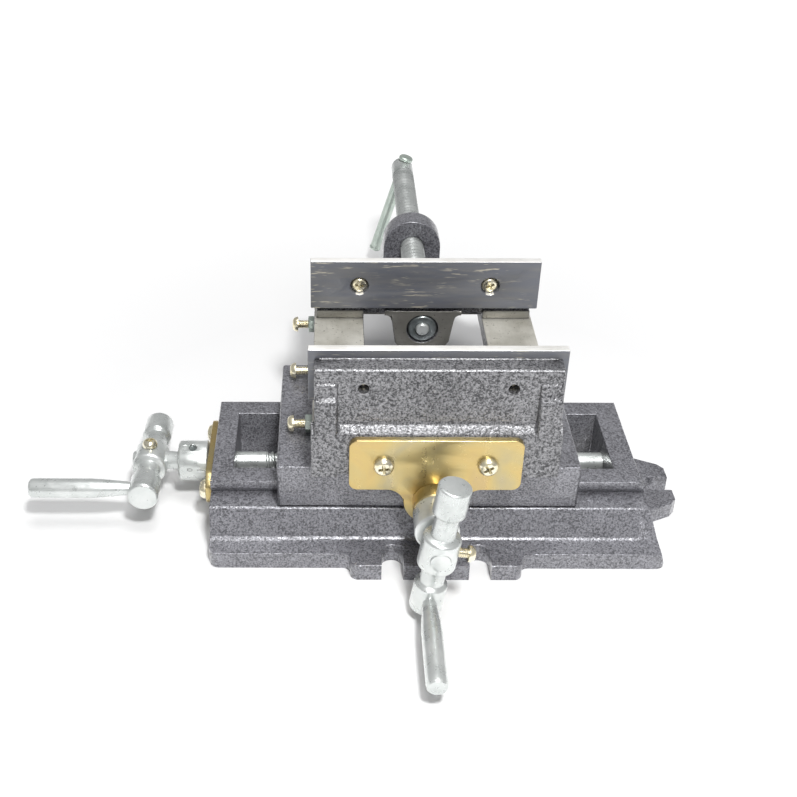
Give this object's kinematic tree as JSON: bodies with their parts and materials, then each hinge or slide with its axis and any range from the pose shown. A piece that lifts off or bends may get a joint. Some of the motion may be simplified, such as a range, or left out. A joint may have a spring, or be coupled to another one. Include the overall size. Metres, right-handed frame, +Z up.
{
  "type": "cross slide vise",
  "caption": "Drill press vise on two crossed dovetail slides, with crank leadscrews, dials and a screw driven moving jaw.",
  "frame": {"origin": "centre of the four bolt slots on the base underside, at table level", "axes": "+X to the right along the base, +Y to the back along the vise, +Z up"},
  "size_m": [0.278, 0.3536, 0.0945],
  "materials": {
    "cast_paint": "dark grey hammered paint on a casting, machined bare on the rails",
    "jaw_steel": "dark oiled steel with bright ground edges",
    "bare_iron": "bare machined iron",
    "gold_zinc": "yellow passivated zinc",
    "bright_zinc": "bright zinc",
    "olive_zinc": "dull green grey zinc"
  },
  "bodies": {
    "base": {"base_casting": "cast_paint", "x_bracket": "gold_zinc", "x_bracket_screws": "gold_zinc"},
    "x_screw": {"x_leadscrew": "bright_zinc", "x_dial": "bright_zinc", "x_dial_screw": "olive_zinc", "x_crank_arm": "bright_zinc", "x_crank_handle": "bright_zinc", "x_crank_screw": "gold_zinc"},
    "saddle": {"saddle_casting": "cast_paint", "x_nut": "olive_zinc", "x_nut_bolt": "olive_zinc", "y_nut": "olive_zinc", "y_nut_bolt": "olive_zinc", "x_gib": "bare_iron", "x_gib_screws": "gold_zinc", "x_gib_nuts": "olive_zinc"},
    "vise_body": {"vise_body_casting": "cast_paint", "fixed_jaw_plate": "jaw_steel", "fixed_jaw_screws": "gold_zinc", "y_gib": "bare_iron", "y_gib_screws": "gold_zinc", "y_gib_nuts": "olive_zinc", "y_bracket": "gold_zinc", "y_bracket_bush": "gold_zinc", "y_bracket_screws": "gold_zinc"},
    "y_screw": {"y_leadscrew": "bright_zinc", "y_dial": "bright_zinc", "y_dial_screw": "olive_zinc", "y_crank_arm": "bright_zinc", "y_crank_handle": "bright_zinc", "y_crank_screw": "gold_zinc"},
    "moving_jaw": {"moving_jaw_casting": "cast_paint", "moving_jaw_plate": "jaw_steel", "moving_jaw_screws": "gold_zinc", "jaw_keepers": "bare_iron", "keeper_screws": "gold_zinc"},
    "vise_spindle": {"vise_screw": "bright_zinc", "nose_collar": "bright_zinc"},
    "tommy_bar": {"tommy_bar": "olive_zinc"}
  },
  "joints": [
    {"name": "x_slide", "type": "slide", "parent": "base", "child": "saddle", "axis": [1, 0, 0], "range_m": [-0.038, 0.038]},
    {"name": "x_crank_turn", "type": "hinge", "parent": "base", "child": "x_screw", "pos_m": [-0.096, 0, 0.017], "axis": [1, 0, 0], "range_deg": [-5477, 5477]},
    {"name": "y_slide", "type": "slide", "parent": "saddle", "child": "vise_body", "axis": [0, 1, 0], "range_m": [-0.036, 0.0025]},
    {"name": "y_crank_turn", "type": "hinge", "parent": "vise_body", "child": "y_screw", "pos_m": [-0.002, -0.0485, 0.0335], "axis": [0, 1, 0], "range_deg": [-5189, 365]},
    {"name": "jaw_slide", "type": "slide", "parent": "vise_body", "child": "moving_jaw", "axis": [0, 1, 0], "range_m": [-0.068, 0.036]},
    {"name": "vise_screw_turn", "type": "hinge", "parent": "moving_jaw", "child": "vise_spindle", "pos_m": [-0.002, 0.0396, 0.06], "axis": [0, 1, 0], "range_deg": [-13993.57, 7410.71]},
    {"name": "tommy_bar_slide", "type": "slide", "parent": "vise_spindle", "child": "tommy_bar", "axis": [0.279, 0, 0.9603], "range_m": [0, 0.04]}
  ],
  "couplings": [
    {"joint": "x_crank_turn", "follows": "x_slide", "rad_per_m": -2513.3},
    {"joint": "y_crank_turn", "follows": "y_slide", "rad_per_m": 2513.3},
    {"joint": "vise_screw_turn", "follows": "jaw_slide", "rad_per_m": 3590.4}
  ]
}
